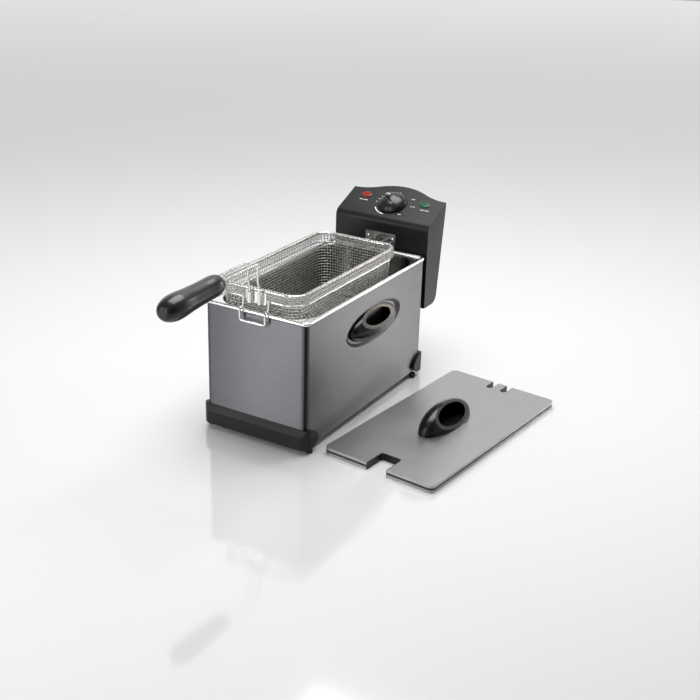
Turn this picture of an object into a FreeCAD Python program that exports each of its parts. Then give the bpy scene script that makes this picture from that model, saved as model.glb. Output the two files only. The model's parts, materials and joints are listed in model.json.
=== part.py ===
import FreeCAD, Part
import math
import os

# Deep fryer with a removable oil tank, a lift-off control head, a basket hung on the front rim
# by its drain hook, and the lid laid on the table beside it.
# Millimetres, +Z up, the front faces -Y, +X is the right side.
# Origin: on the table, under the middle of the steel casing.

V = FreeCAD.Vector
os.makedirs("parts", exist_ok=True)

# ---------------------------------------------------------------- driving dimensions
CASING_WIDTH = 157.6
CASING_LENGTH = 320.0
RIM_TOP = 185.0
CASING_CORNER = 7.0
SHEET = 0.8
LOOSE = 0.3                 # gap between pieces that lift apart
RUNNING = 0.05              # radial gap of a turning or sliding pin
BEYOND = 1.0                # how far a cutting shape runs past the face it cuts

# screws and rivets
SCREW_RADIUS = 1.5
SCREW_HEAD_RADIUS = 3.2
SCREW_HEAD_HEIGHT = 1.8
RIVET_HEAD_RADIUS = 2.8
RIVET_HEAD_HEIGHT = 1.4

# base trims, pan and feet
TRIM_BOTTOM = 7.5
TRIM_TOP = 35.0
TRIM_OUT = 5.2
TRIM_FLOOR = 2.0
TRIM_BEVEL = 9.0
TRIM_LIP = 1.2              # flat top edge of the trim outside the casing
WING_LENGTH = 26.0
WING_TIP_HEIGHT = 9.0
WING_TOE = 12.0
FOOT_RADIUS = 4.6
FOOT_EDGE = 1.0
FOOT_FROM_SIDE = 0.5
FRONT_FOOT_INSET = 10.0
REAR_FOOT_INSET = 22.0
PAN_HEIGHT = 12.0
VENT_COUNT = 9
VENT_PITCH = 12.0
VENT_WIDTH = 4.0
VENT_LENGTH = 50.0
BASE_SCREW_X = 55.0
BASE_SCREW_INSET = 12.0
BASE_SCREW_LENGTH = 8.0

# oil tank
BEAD_RADIUS = 2.6
BEAD_INSET = 1.0            # bead centre line inside the casing's outer face
TANK_OPENING_X = 148.0
TANK_OPENING_Y = 312.0
TANK_OPENING_CORNER = 40.0
TANK_FLOOR = 55.0
TANK_TAPER = 5.5
TANK_BEVEL = 9.0

# scooped handles
SIDE_HANDLE_LENGTH = 120.0
SIDE_HANDLE_HEIGHT = 44.0
SIDE_HANDLE_OUT = 16.0
SIDE_HANDLE_Y = 14.0
SIDE_HANDLE_BELOW_RIM = 55.0
DISH_DEPTH = 4.0
DISH_LENGTH = 150.0
DISH_HEIGHT = 54.0
DISH_SLOPE = 8.0
SEAT_WINDOW = 0.58          # share of the seat cut open behind the handle
HANDLE_WALL = 2.6
HANDLE_SCREW_HEAD = 1.0     # flat heads, to leave room for the tank
HANDLE_SCREW_SHARE = 0.38   # screws this share of the handle's length from its middle
DOME_STATIONS = 7
DOME_TOP = math.radians(84)

# head guide on the rear wall
RAIL_NECK = 46.0
RAIL_FLANGE = 60.0
RAIL_FLANGE_THICK = 3.0
RAIL_ABOVE_HEAD_BOTTOM = 9.0
RAIL_BELOW_RIM = 17.0
RAIL_RIVET_X = 15.0
RAIL_RIVET_INSET = 10.0
SLIDE_GAP = 0.5
TAB_WIDTH = 6.0
TAB_HEIGHT = 12.0

# control head
HEAD_WIDTH = 156.8
HEAD_CLEAR = 6.0            # head's front wall behind the tank's bead
HEAD_BELOW_RIM = 84.0
HEAD_BEND_ABOVE_RIM = 42.4
HEAD_BEND_RADIUS = 11.6
PANEL_SLOPE = 23.5
HEAD_DEPTH_TOP = 55.5
HEAD_BULGE = 16.0
HEAD_LEAN = 0.1234
HEAD_WALL = 2.5
HEAD_SEAM = 4.0
HEAD_HEEL_RADIUS = 14.0
POCKET_WALL = 2.0
POCKET_HEADROOM = 4.0
HEAD_SCREW_X = 60.0
HEAD_SCREW_RISES = (27.0, 113.0)
HEAD_SCREW_RADIUS = 1.6
HEAD_SCREW_SHANK = 14.0

# fittings on the head's back, heights above the head's lower edge
GLAND_RISE = 21.0
GLAND_RADIUS = 6.5
GLAND_FLANGE = 2.5
GLAND_BORE = 3.4
RESET_RISE = 49.0
RESET_RADIUS = 4.0
RESET_PROUD = 2.6
RESET_TRAVEL = 2.0
CUTOUT_SIZE = (24.0, 12.0, 18.0)
TERMINAL_SIZE = (28.0, 12.0, 10.0)
SWITCH_SIZE = (13.0, 14.0, 9.0)

# things on the panel, measured up the slope from the bend line
KNOB_UP = 36.4
KNOB_RADIUS = 22.0
KNOB_HEIGHT = 15.0
KNOB_SKIRT = 10.5
KNOB_LIFT = 0.6
KNOB_BAR_WIDTH = 9.0
KNOB_POINTS_TO = 146.0
POINTER_WIDTH = 1.4
SPINDLE_RADIUS = 3.0
SPINDLE_TIP = 9.0
SPINDLE_ROOT = 18.0
THERMOSTAT_RADIUS = 17.0
THERMOSTAT_COLLAR = 6.5
LAMP_UP = 46.4
LAMP_X = 49.6
LAMP_LENGTH = 16.0
LAMP_HEIGHT = 12.5
LAMP_PROUD = 1.8
LAMP_HOLDER_RADIUS = 4.5
LAMP_HOLDER_DEPTH = 12.0

# heating element, its bracket and the sensor, heights above the rim
ELEMENT_RADIUS = 3.25
ELEMENT_X = 11.5
ELEMENT_RISE = 11.0
ELEMENT_DROP_Y = 141.0
ELEMENT_ABOVE_FLOOR = 15.0
ELEMENT_BEND = 11.0
ELEMENT_LOOP_X = 49.0
ELEMENT_INNER_X = 18.0
ELEMENT_LOOP_FRONT = -104.0
ELEMENT_LOOP_REAR = 118.0
ELEMENT_RETURN_Y = 92.0
BRACKET_WIDTH = 51.0
BRACKET_RISE = 3.5
BRACKET_HEIGHT = 18.0
BRACKET_THICK = 1.5
BRACKET_SCREW_X = 20.4
BRACKET_SCREW_RISE = 12.5
BRACKET_SCREW_HEAD = 2.4
CAPILLARY_RISE = 17.5
CAPILLARY_RADIUS = 1.0
BULB_RADIUS = 3.0
BULB_REAR = 120.0
BULB_FRONT = 30.0

# basket
BASKET_WIDTH = 129.4
BASKET_LENGTH = 259.4
BASKET_FROM_FRONT = 4.0     # basket rim behind the casing's front face
BASKET_RIM_RISE = 27.7      # rim wire's middle above the tank's rim
BASKET_DEPTH = 92.0
BASKET_CORNER = 22.0
BASKET_TAPER = 5.0
BASKET_CORNER_SWELL = 14.0  # how much rounder the corners are at the bottom
BASKET_WALL = 1.2
RIM_WIRE_RADIUS = 2.0
RING_WIRE_RADIUS = 1.25
RING_DROP = 13.0
LOW_RING_LIFT = 6.0
HOOK_WIRE_RADIUS = 1.6
HOOK_BEND = 3.6
HOOK_X = 19.5
HOOK_DROP = 14.0
HOOK_REACH = 4.2            # hook leg centre in front of the bead

# basket handle
HANDLE_WIRE_RADIUS = 1.6
HANDLE_WIRE_X = 7.5
HANDLE_WIRE_BEND = 4.5
HANDLE_WIRE_RISE = 38.3     # above the basket's rim wire
HANDLE_LEG_OUT = 8.0
SOCKET_LENGTH = 15.0
SOCKET_WALL = 1.6
SOCKET_PLATE = 1.0
SOCKET_PLATE_WIDTH = 30.0
SOCKET_FLOOR = 2.0
GRIP_FROM_LEG = 70.0
GRIP_LENGTH = 110.0
GRIP_BELOW_WIRE = 5.5
GRIP_DROOP = 5.0
GRIP_WIDTH = 33.0
GRIP_WIRE_DEPTH = 40.0
GRIP_SCREW_SHARE = 0.55

# lid on the table
LID_WIDTH = 169.5
LID_LENGTH = 321.4
LID_HEIGHT = 10.1
LID_CORNER = 8.0
LID_CORNER_X = 95.9
LID_CORNER_Y = -140.8
LID_YAW = -5.9
LINER_INSET = 9.0
LINER_BOTTOM = 3.0
NOTCH_WIDTH = 32.0
NOTCH_DEPTH = 35.0
NOTCH_CORNER = 5.0
NOTCH_LINING = 1.2
SLOT_WIDTH = 9.9
SLOT_LENGTH = 23.5
SLOT_LINING = 0.8
LID_HANDLE_LENGTH = 112.0
LID_HANDLE_WIDTH = 46.0
LID_HANDLE_HEIGHT = 31.0
LID_SCREW_SHARE = 0.36

# ---------------------------------------------------------------- derived places
CASING_BOTTOM = TRIM_BOTTOM + TRIM_FLOOR
CASING_TOP = RIM_TOP - 2 * BEAD_RADIUS - LOOSE
WALL_X = CASING_WIDTH / 2
WALL_Y = CASING_LENGTH / 2
BEAD_OUT_Y = WALL_Y - BEAD_INSET + BEAD_RADIUS
FLANGE_Z = RIM_TOP - BEAD_RADIUS
SIDE_HANDLE_Z = RIM_TOP - SIDE_HANDLE_BELOW_RIM
HEAD_FRONT = BEAD_OUT_Y + HEAD_CLEAR
HEAD_BOTTOM = RIM_TOP - HEAD_BELOW_RIM
HEAD_BEND_Z = RIM_TOP + HEAD_BEND_ABOVE_RIM
RAIL_BOTTOM = HEAD_BOTTOM + RAIL_ABOVE_HEAD_BOTTOM
RAIL_TOP = RIM_TOP - RAIL_BELOW_RIM
RAIL_FLANGE_Y = HEAD_FRONT + HEAD_WALL + SLIDE_GAP
GLAND_Z = HEAD_BOTTOM + GLAND_RISE
RESET_Z = HEAD_BOTTOM + RESET_RISE
ELEMENT_EXIT_Z = RIM_TOP + ELEMENT_RISE
ELEMENT_BOTTOM_Z = TANK_FLOOR + ELEMENT_ABOVE_FLOOR
BRACKET_BOTTOM = RIM_TOP + BRACKET_RISE
BRACKET_SCREW_Z = RIM_TOP + BRACKET_SCREW_RISE
CAPILLARY_Z = RIM_TOP + CAPILLARY_RISE
BASKET_RIM_Z = RIM_TOP + BASKET_RIM_RISE
BASKET_FRONT = BASKET_FROM_FRONT - WALL_Y
BASKET_BOTTOM = BASKET_RIM_Z - BASKET_DEPTH
BASKET_MIDDLE_Y = BASKET_FRONT + BASKET_LENGTH / 2
MESH_INSET = RIM_WIRE_RADIUS + 0.3
HANDLE_WIRE_Z = BASKET_RIM_Z + HANDLE_WIRE_RISE
HANDLE_LEG_Y = BASKET_FRONT - HANDLE_LEG_OUT
SOCKET_TOP = BASKET_RIM_Z - RIM_WIRE_RADIUS
SOCKET_BOTTOM = SOCKET_TOP - SOCKET_LENGTH
SOCKET_RADIUS = HANDLE_WIRE_RADIUS + RUNNING + SOCKET_WALL
SOCKET_Y = BASKET_FRONT - SOCKET_PLATE - SOCKET_RADIUS + 0.2
GRIP_REAR = HANDLE_LEG_Y - GRIP_FROM_LEG
GRIP_Z = HANDLE_WIRE_Z - GRIP_BELOW_WIRE
SLOPE = math.radians(PANEL_SLOPE)
PANEL_UP = V(0, math.cos(SLOPE), math.sin(SLOPE))
PANEL_OUT = V(0, -math.sin(SLOPE), math.cos(SLOPE))
BEND_LINE = V(0, HEAD_FRONT, HEAD_BEND_Z)
KNOB_CENTRE = BEND_LINE + PANEL_UP * KNOB_UP


# ---------------------------------------------------------------- shape helpers
def save(name, shape):
    solids = shape.Solids
    whole = solids[0] if len(solids) == 1 else Part.makeCompound(solids)
    print(name, len(solids), whole.isValid(), round(whole.Volume / 1000, 2))
    whole.exportStep("parts/" + name + ".step")


def box(x0, x1, y0, y1, z0, z1):
    return Part.makeBox(x1 - x0, y1 - y0, z1 - z0, V(x0, y0, z0))


def fuse(shapes):
    return shapes[0].fuse(list(shapes[1:])).removeSplitter()


def rod(start, end, radius):
    return Part.makeCylinder(radius, (end - start).Length, start, end - start)


def rounded_wire(width, length, corner, z, centre=(0, 0)):
    """Rounded rectangle in a level plane."""
    cx, cy = centre
    hx, hy = width / 2, length / 2
    edges = []
    spots = [(hx, hy, 0), (-hx, hy, 90), (-hx, -hy, 180), (hx, -hy, 270)]
    arcs = []
    for px, py, turn in spots:
        mx = cx + px - math.copysign(corner, px)
        my = cy + py - math.copysign(corner, py)
        points = []
        for angle in (turn, turn + 45, turn + 90):
            a = math.radians(angle)
            points.append(V(mx + corner * math.cos(a), my + corner * math.sin(a), z))
        arcs.append(points)
    for i, points in enumerate(arcs):
        edges.append(Part.Arc(*points).toShape())
        edges.append(Part.makeLine(points[2], arcs[(i + 1) % 4][0]))
    return Part.Wire(edges)


def rounded_block(width, length, corner, z0, z1, centre=(0, 0)):
    face = Part.Face(rounded_wire(width, length, corner, z0, centre))
    return face.extrude(V(0, 0, z1 - z0))


def bent_rod(points, radius, bend, closed=False):
    """Round bar through straight runs joined by tangent arcs."""
    count = len(points)
    corners = range(count) if closed else range(1, count - 1)
    trims = {}
    pieces = []
    for i in corners:
        before = (points[i] - points[i - 1]).normalize()
        after = (points[(i + 1) % count] - points[i]).normalize()
        turn = before.getAngle(after)
        reach = bend * math.tan(turn / 2)
        trims[i] = reach
        start = points[i] - before * reach
        axis = before.cross(after).normalize()
        middle = start + axis.cross(before) * bend
        disc = Part.Face(Part.Wire(Part.makeCircle(radius, start, before)))
        pieces.append(disc.revolve(middle, axis, math.degrees(turn)))
    for i in range(count if closed else count - 1):
        a = points[i]
        b = points[(i + 1) % count]
        along = (b - a).normalize()
        a = a + along * trims.get(i, 0)
        b = b - along * trims.get((i + 1) % count, 0)
        if (b - a).Length > 0.01:
            pieces.append(rod(a, b, radius))
    return fuse(pieces)


def ring_wire(width, length, corner, z, radius, centre):
    """Closed round wire that follows a rounded rectangle."""
    cx, cy = centre
    hx, hy = width / 2, length / 2
    points = [V(cx + hx, cy - hy, z), V(cx + hx, cy + hy, z), V(cx - hx, cy + hy, z),
              V(cx - hx, cy - hy, z)]
    return bent_rod(points, radius, corner, closed=True)


def loft_block(sections):
    """Solid through rounded rectangles given as (width, length, corner, z, centre)."""
    return Part.makeLoft([rounded_wire(*s) for s in sections], True, True)


def ellipse_wire(long_half, short_half, centre, long_axis, short_axis):
    curve = Part.Ellipse(V(0, 0, 0), long_half, short_half)
    edge = curve.toShape()
    normal = long_axis.cross(short_axis)
    turn = FreeCAD.Rotation(long_axis, short_axis, normal, "ZXY")
    edge.Placement = FreeCAD.Placement(centre, turn)
    return Part.Wire(edge)


def ellipse_cone(halves_a, centre_a, halves_b, centre_b, long_axis, short_axis):
    wires = [ellipse_wire(*halves_a, centre_a, long_axis, short_axis),
             ellipse_wire(*halves_b, centre_b, long_axis, short_axis)]
    return Part.makeLoft(wires, True, True)


def oval_dome(half_long, half_wide, height, base):
    """Upper part of an ellipsoid, long way on X, from the level of its base to its crown."""
    start = math.asin(base / height)
    wires = []
    for i in range(DOME_STATIONS + 1):
        climb = start + (DOME_TOP - start) * i / DOME_STATIONS
        spread = math.cos(climb)
        wires.append(ellipse_wire(half_long * spread, half_wide * spread,
                                  V(0, 0, height * math.sin(climb)), V(1, 0, 0), V(0, 1, 0)))
    return Part.makeLoft(wires, True, False)


def scoop_handle(length, width, height):
    """Domed finger handle, long way on X, scooped open towards +Y, base on Z = 0."""
    half, side = length / 2, width / 2
    dome = oval_dome(half, side, height, 0)
    near_edge = V(-length, side * 0.90, height * 0.14)
    crest = V(-length, 0, height)
    beyond = V(-length, width * 3, height * 3)
    corner = crest + (crest - near_edge) * 2
    low = near_edge + (near_edge - crest) * 2
    mouth = Part.Face(Part.makePolygon([low, corner, beyond, V(-length, width * 3, low.z), low]))
    dome = dome.cut(mouth.extrude(V(length * 2, 0, 0)))
    hollow = oval_dome(half - HANDLE_WALL, side - HANDLE_WALL, height - HANDLE_WALL, HANDLE_WALL)
    return dome.cut(hollow)


def prism_x(points, half_width):
    """Outline in the YZ plane, extruded evenly to both sides."""
    outline = [V(-half_width, y, z) for y, z in points]
    face = Part.Face(Part.makePolygon(outline + [outline[0]]))
    return face.extrude(V(2 * half_width, 0, 0))


# ---------------------------------------------------------------- casing, trims and feet
def side_frame(side):
    """Origin and axes of a side handle seat: outward, along the wall, up."""
    origin = V(side * WALL_X, SIDE_HANDLE_Y, SIDE_HANDLE_Z)
    return origin, V(side, 0, 0), V(0, side, 0), V(0, 0, 1)


def outer_casing():
    outside = rounded_block(CASING_WIDTH, CASING_LENGTH, CASING_CORNER, CASING_BOTTOM, CASING_TOP)
    inside = rounded_block(CASING_WIDTH - 2 * SHEET, CASING_LENGTH - 2 * SHEET,
                           CASING_CORNER - SHEET, CASING_BOTTOM - 1, CASING_TOP - SHEET)
    lip_hole = rounded_block(TANK_OPENING_X + 4, TANK_OPENING_Y + 3,
                             TANK_OPENING_CORNER - 20, CASING_TOP - 2, CASING_TOP + 1)
    casing = outside.cut(inside).cut(lip_hole)
    seat = (DISH_LENGTH / 2 - DISH_SLOPE, DISH_HEIGHT / 2 - DISH_SLOPE / 2.5)
    rim = (DISH_LENGTH / 2, DISH_HEIGHT / 2)
    for side in (-1, 1):
        origin, out, along, up = side_frame(side)
        grown_seat = (seat[0] + SHEET, seat[1] + SHEET)
        grown_rim = (rim[0] + SHEET, rim[1] + SHEET)
        solid = ellipse_cone(grown_rim, origin, grown_seat, origin - out * (DISH_DEPTH + SHEET),
                             along, up)
        cavity = ellipse_cone(rim, origin, seat, origin - out * DISH_DEPTH, along, up)
        window = (seat[0] * SEAT_WINDOW, seat[1] * SEAT_WINDOW)
        hole = ellipse_cone(window, origin, window, origin - out * 3 * DISH_DEPTH, along, up)
        for u in side_screw_spots():
            spot = origin + along * u
            hole = hole.fuse(rod(spot, spot - out * 3 * DISH_DEPTH, SCREW_RADIUS))
        casing = casing.cut(solid)
        casing = casing.fuse(solid.cut(cavity).cut(hole))
    for x, z in rail_rivet_spots():
        casing = casing.cut(rod(V(x, WALL_Y - 4, z), V(x, WALL_Y + 4, z), SCREW_RADIUS))
    return casing


def bottom_pan():
    width = CASING_WIDTH - 2 * SHEET
    length = CASING_LENGTH - 2 * SHEET
    corner = CASING_CORNER - SHEET
    top = CASING_BOTTOM + PAN_HEIGHT
    block = rounded_block(width, length, corner, CASING_BOTTOM, top)
    hollow = rounded_block(width - 2 * SHEET, length - 2 * SHEET, corner - SHEET,
                           CASING_BOTTOM + SHEET, top + BEYOND)
    pan = block.cut(hollow)
    low, high = CASING_BOTTOM - BEYOND, CASING_BOTTOM + SHEET + BEYOND
    for i in range(VENT_COUNT):
        y = (i - (VENT_COUNT - 1) / 2) * VENT_PITCH
        pan = pan.cut(box(-VENT_LENGTH / 2, VENT_LENGTH / 2, y - VENT_WIDTH / 2,
                          y + VENT_WIDTH / 2, low, high))
    for x, y in base_screw_spots():
        pan = pan.cut(rod(V(x, y, low), V(x, y, high), SCREW_RADIUS))
    return pan


def base_screw_spots():
    y = WALL_Y - BASE_SCREW_INSET
    return [(side * BASE_SCREW_X, end * y) for end in (-1, 1) for side in (-1, 1)]


def base_trim(end):
    """Moulded trim that wraps one end of the casing's foot; end is -1 front, +1 rear."""
    face_y = WALL_Y + TRIM_OUT
    tip_y = WALL_Y - WING_LENGTH
    tip_z = TRIM_BOTTOM + WING_TIP_HEIGHT
    corner = V(0, WALL_Y - 1.5, TRIM_TOP)
    tip = V(0, tip_y, tip_z)
    bow = V(0, (corner.y + tip.y) / 2 - 4.0, (corner.z + tip.z) / 2 + 4.5)
    foot_end = V(0, tip_y + WING_TOE, TRIM_BOTTOM)
    edges = [
        Part.makeLine(V(0, face_y, TRIM_BOTTOM), V(0, face_y, TRIM_TOP - TRIM_BEVEL)),
        Part.makeLine(V(0, face_y, TRIM_TOP - TRIM_BEVEL), V(0, WALL_Y + TRIM_LIP, TRIM_TOP)),
        Part.makeLine(V(0, WALL_Y + TRIM_LIP, TRIM_TOP), corner),
        Part.Arc(corner, bow, tip).toShape(),
        Part.makeLine(tip, foot_end),
        Part.makeLine(foot_end, V(0, face_y, TRIM_BOTTOM)),
    ]
    half = WALL_X + TRIM_OUT
    profile = Part.Face(Part.Wire(edges))
    profile.translate(V(-half, 0, 0))
    solid = profile.extrude(V(2 * half, 0, 0))
    plan = rounded_block(2 * half, 2 * face_y, CASING_CORNER + TRIM_OUT, 0, RIM_TOP)
    solid = solid.common(plan)
    solid = solid.cut(rounded_block(CASING_WIDTH, CASING_LENGTH, CASING_CORNER,
                                    CASING_BOTTOM, RIM_TOP))
    for x, y in base_screw_spots():
        if y > 0:
            solid = solid.cut(rod(V(x, y, 0), V(x, y, CASING_BOTTOM + BEYOND), SCREW_RADIUS))
    if end < 0:
        solid = solid.mirror(V(0, 0, 0), V(0, 1, 0))
    return solid


def foot(side, end):
    inset = FRONT_FOOT_INSET if end < 0 else REAR_FOOT_INSET
    x = side * (WALL_X + TRIM_OUT - FOOT_RADIUS - FOOT_FROM_SIDE)
    y = end * (WALL_Y - inset)
    pad = Part.makeCylinder(FOOT_RADIUS, TRIM_BOTTOM, V(x, y, 0))
    low = [e for e in pad.Edges if e.BoundBox.ZMax < 0.01]
    return pad.makeFillet(FOOT_EDGE, low)


def base_screws():
    screws = []
    for x, y in base_screw_spots():
        shank = Part.makeCylinder(SCREW_RADIUS, BASE_SCREW_LENGTH, V(x, y, TRIM_BOTTOM))
        head = Part.makeCylinder(SCREW_HEAD_RADIUS, SCREW_HEAD_HEIGHT,
                                 V(x, y, TRIM_BOTTOM - SCREW_HEAD_HEIGHT))
        screws.append(shank.fuse(head).removeSplitter())
    return Part.makeCompound(screws)


# ---------------------------------------------------------------- side handles
def side_handle(side):
    shape = scoop_handle(SIDE_HANDLE_LENGTH, SIDE_HANDLE_HEIGHT, SIDE_HANDLE_OUT + DISH_DEPTH)
    for u in side_screw_spots():
        shape = shape.cut(rod(V(u, 0, -BEYOND), V(u, 0, HANDLE_WALL + BEYOND), SCREW_RADIUS))
    origin, out, along, up = side_frame(side)
    turn = FreeCAD.Rotation(along, up, out, "ZXY")
    shape.Placement = FreeCAD.Placement(origin - out * DISH_DEPTH, turn)
    return shape


def side_screw_spots():
    reach = SIDE_HANDLE_LENGTH * HANDLE_SCREW_SHARE
    return [-reach, reach]


def side_handle_screws():
    screws = []
    for side in (-1, 1):
        for u in side_screw_spots():
            y = SIDE_HANDLE_Y + u
            seat = side * (WALL_X - DISH_DEPTH)
            inner = seat - side * SHEET
            outer = seat + side * HANDLE_WALL
            head = rod(V(inner - side * HANDLE_SCREW_HEAD, y, SIDE_HANDLE_Z),
                       V(inner, y, SIDE_HANDLE_Z), SCREW_HEAD_RADIUS)
            shank = rod(V(inner, y, SIDE_HANDLE_Z), V(outer, y, SIDE_HANDLE_Z), SCREW_RADIUS)
            screws.append(head.fuse(shank).removeSplitter())
    return Part.makeCompound(screws)


# ---------------------------------------------------------------- rail the head slides on
def rail_rivet_spots():
    low, high = RAIL_BOTTOM + RAIL_RIVET_INSET, RAIL_TOP - RAIL_RIVET_INSET
    return [(side * RAIL_RIVET_X, z) for z in (low, high) for side in (-1, 1)]


def head_rail():
    back = RAIL_FLANGE_Y + RAIL_FLANGE_THICK
    neck = box(-RAIL_NECK / 2, RAIL_NECK / 2, WALL_Y, RAIL_FLANGE_Y, RAIL_BOTTOM, RAIL_TOP)
    flange = box(-RAIL_FLANGE / 2, RAIL_FLANGE / 2, RAIL_FLANGE_Y, back, RAIL_BOTTOM, RAIL_TOP)
    rail = neck.fuse(flange).removeSplitter()
    for x, z in rail_rivet_spots():
        rail = rail.cut(rod(V(x, WALL_Y - BEYOND, z), V(x, back + BEYOND, z), SCREW_RADIUS))
        rail = rail.cut(rod(V(x, RAIL_FLANGE_Y, z), V(x, back + BEYOND, z), SCREW_HEAD_RADIUS))
    return rail


def rail_rivets():
    inside = WALL_Y - SHEET
    rivets = []
    for x, z in rail_rivet_spots():
        shank = rod(V(x, inside, z), V(x, RAIL_FLANGE_Y, z), SCREW_RADIUS)
        inner = rod(V(x, inside - RIVET_HEAD_HEIGHT, z), V(x, inside, z), RIVET_HEAD_RADIUS)
        outer = rod(V(x, RAIL_FLANGE_Y, z), V(x, RAIL_FLANGE_Y + RIVET_HEAD_HEIGHT, z),
                    RIVET_HEAD_RADIUS)
        rivets.append(fuse([shank, inner, outer]))
    return Part.makeCompound(rivets)


def interlock_tab():
    return box(-TAB_WIDTH / 2, TAB_WIDTH / 2, RAIL_FLANGE_Y, RAIL_FLANGE_Y + RAIL_FLANGE_THICK,
               RAIL_TOP, RAIL_TOP + TAB_HEIGHT)


# ---------------------------------------------------------------- oil tank
def tank_sections(wall):
    top_x, top_y = TANK_OPENING_X - 2 * wall, TANK_OPENING_Y - 2 * wall
    low_x, low_y = top_x - 2 * TANK_TAPER, top_y - 2 * TANK_TAPER
    corner = TANK_OPENING_CORNER - wall
    floor = TANK_FLOOR + wall
    cut = 2 * TANK_BEVEL
    return [
        (low_x - cut, low_y - cut, corner - TANK_TAPER - TANK_BEVEL, floor),
        (low_x, low_y, corner - TANK_TAPER, floor + TANK_BEVEL),
        (top_x, top_y, corner, FLANGE_Z + (1 if wall > 0 else 0)),
    ]


def oil_tank():
    outside = loft_block(tank_sections(0.0))
    inside = loft_block(tank_sections(SHEET))
    plan_x = CASING_WIDTH - 2 * BEAD_INSET
    plan_y = CASING_LENGTH - 2 * BEAD_INSET
    corner = CASING_CORNER - BEAD_INSET
    flange = rounded_block(plan_x, plan_y, corner, FLANGE_Z - SHEET, FLANGE_Z)
    bead = ring_wire(plan_x, plan_y, corner, FLANGE_Z, BEAD_RADIUS, (0, 0))
    hole = rounded_block(TANK_OPENING_X - 2 * SHEET, TANK_OPENING_Y - 2 * SHEET,
                         TANK_OPENING_CORNER - SHEET, FLANGE_Z - 1.2, FLANGE_Z + 5)
    tank = outside.fuse(flange).cut(inside).cut(hole)
    return tank.fuse(bead).removeSplitter()


# ---------------------------------------------------------------- control head
def head_profile(inset):
    """Front and panel line of the head, as a closed outline that runs far behind it."""
    front = HEAD_FRONT + inset
    bend = V(0, HEAD_FRONT, HEAD_BEND_Z)
    half_turn = (math.pi / 2 - SLOPE) / 2
    bend = bend + V(0, inset, 0) - V(0, 0, 1) * (inset * math.tan(half_turn))
    radius = HEAD_BEND_RADIUS - inset
    reach = radius * math.tan(half_turn)
    low = V(0, front, bend.z - reach)
    high = bend + PANEL_UP * reach
    centre = low + V(0, radius, 0)
    middle_way = (bend - centre).normalize() * radius
    far = bend + PANEL_UP * 120
    base = HEAD_BOTTOM + inset
    edges = [
        Part.makeLine(V(0, front, base), low),
        Part.Arc(low, centre + middle_way, high).toShape(),
        Part.makeLine(high, far),
        Part.makeLine(far, V(0, far.y, base)),
        Part.makeLine(V(0, far.y, base), V(0, front, base)),
    ]
    return Part.Face(Part.Wire(edges))


def head_rear_outline(inset):
    """Plan of the head with its bulged back, sheared so that the back leans out upwards."""
    half = HEAD_WIDTH / 2 - inset
    side_y = HEAD_FRONT + HEAD_DEPTH_TOP - inset
    peak_y = side_y + HEAD_BULGE
    radius = (half ** 2 + HEAD_BULGE ** 2) / (4 * HEAD_BULGE)
    edges = []
    quarter = math.asin(half / 2 / radius)
    for side in (1, -1):
        outer_middle = V(side * (half - radius * math.sin(quarter / 2)),
                         side_y + radius * (1 - math.cos(quarter / 2)), 0)
        inner_middle = V(side * radius * math.sin(quarter / 2),
                         peak_y - radius * (1 - math.cos(quarter / 2)), 0)
        turn_point = V(side * half / 2, (side_y + peak_y) / 2, 0)
        outer = Part.Arc(V(side * half, side_y, 0), outer_middle, turn_point).toShape()
        inner = Part.Arc(turn_point, inner_middle, V(0, peak_y, 0)).toShape()
        edges.append((outer, inner))
    near_y = HEAD_FRONT - 40
    wire = Part.Wire([
        edges[0][0], edges[0][1], edges[1][1], edges[1][0],
        Part.makeLine(V(-half, side_y, 0), V(-half, near_y, 0)),
        Part.makeLine(V(-half, near_y, 0), V(half, near_y, 0)),
        Part.makeLine(V(half, near_y, 0), V(half, side_y, 0)),
    ])
    corner_z = HEAD_BEND_Z + HEAD_DEPTH_TOP * math.tan(SLOPE)
    face = Part.Face(wire)
    rise = 220.0
    face.translate(V(0, -HEAD_LEAN * rise, corner_z - rise))
    return face.extrude(V(0, HEAD_LEAN * rise * 1.3, rise * 1.3))


def head_block(inset):
    profile = head_profile(inset)
    half = HEAD_WIDTH / 2 - inset
    profile.translate(V(-half, 0, 0))
    block = profile.extrude(V(2 * half, 0, 0)).common(head_rear_outline(inset))
    heel = [e for e in block.Edges
            if e.BoundBox.ZMax < HEAD_BOTTOM + inset + 0.1
            and e.BoundBox.YMin > HEAD_FRONT + 20
            and e.BoundBox.XLength > 20]
    return block.makeFillet(HEAD_HEEL_RADIUS - inset, heel)


def head_front_zone():
    """Everything nearer than the seam to the head's front face and panel."""
    whole = head_profile(-1.0)
    inner = head_profile(HEAD_SEAM)
    half = HEAD_WIDTH
    whole.translate(V(-half, 0, 0))
    inner.translate(V(-half, 0, 0))
    zone = whole.extrude(V(2 * half, 0, 0)).cut(inner.extrude(V(2 * half, 0, 0)))
    floor = box(-half, half, HEAD_FRONT + HEAD_SEAM, HEAD_FRONT + 200, HEAD_BOTTOM - 5,
                HEAD_BOTTOM + HEAD_SEAM)
    return zone.cut(floor)


def rail_pocket(grow):
    """Channel in the head that the rail's flange runs in."""
    half = RAIL_FLANGE / 2 + SLIDE_GAP + grow
    back = RAIL_FLANGE_Y + RAIL_FLANGE_THICK + SLIDE_GAP + grow
    return box(-half, half, HEAD_FRONT + HEAD_WALL, back, HEAD_BOTTOM - BEYOND,
               RAIL_TOP + POCKET_HEADROOM + grow)


def panel_pin(x, up, radius, out_from, out_to):
    """Round bar square to the panel."""
    foot_point = BEND_LINE + PANEL_UP * up + V(x, 0, 0)
    return rod(foot_point + PANEL_OUT * out_from, foot_point + PANEL_OUT * out_to, radius)


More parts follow.
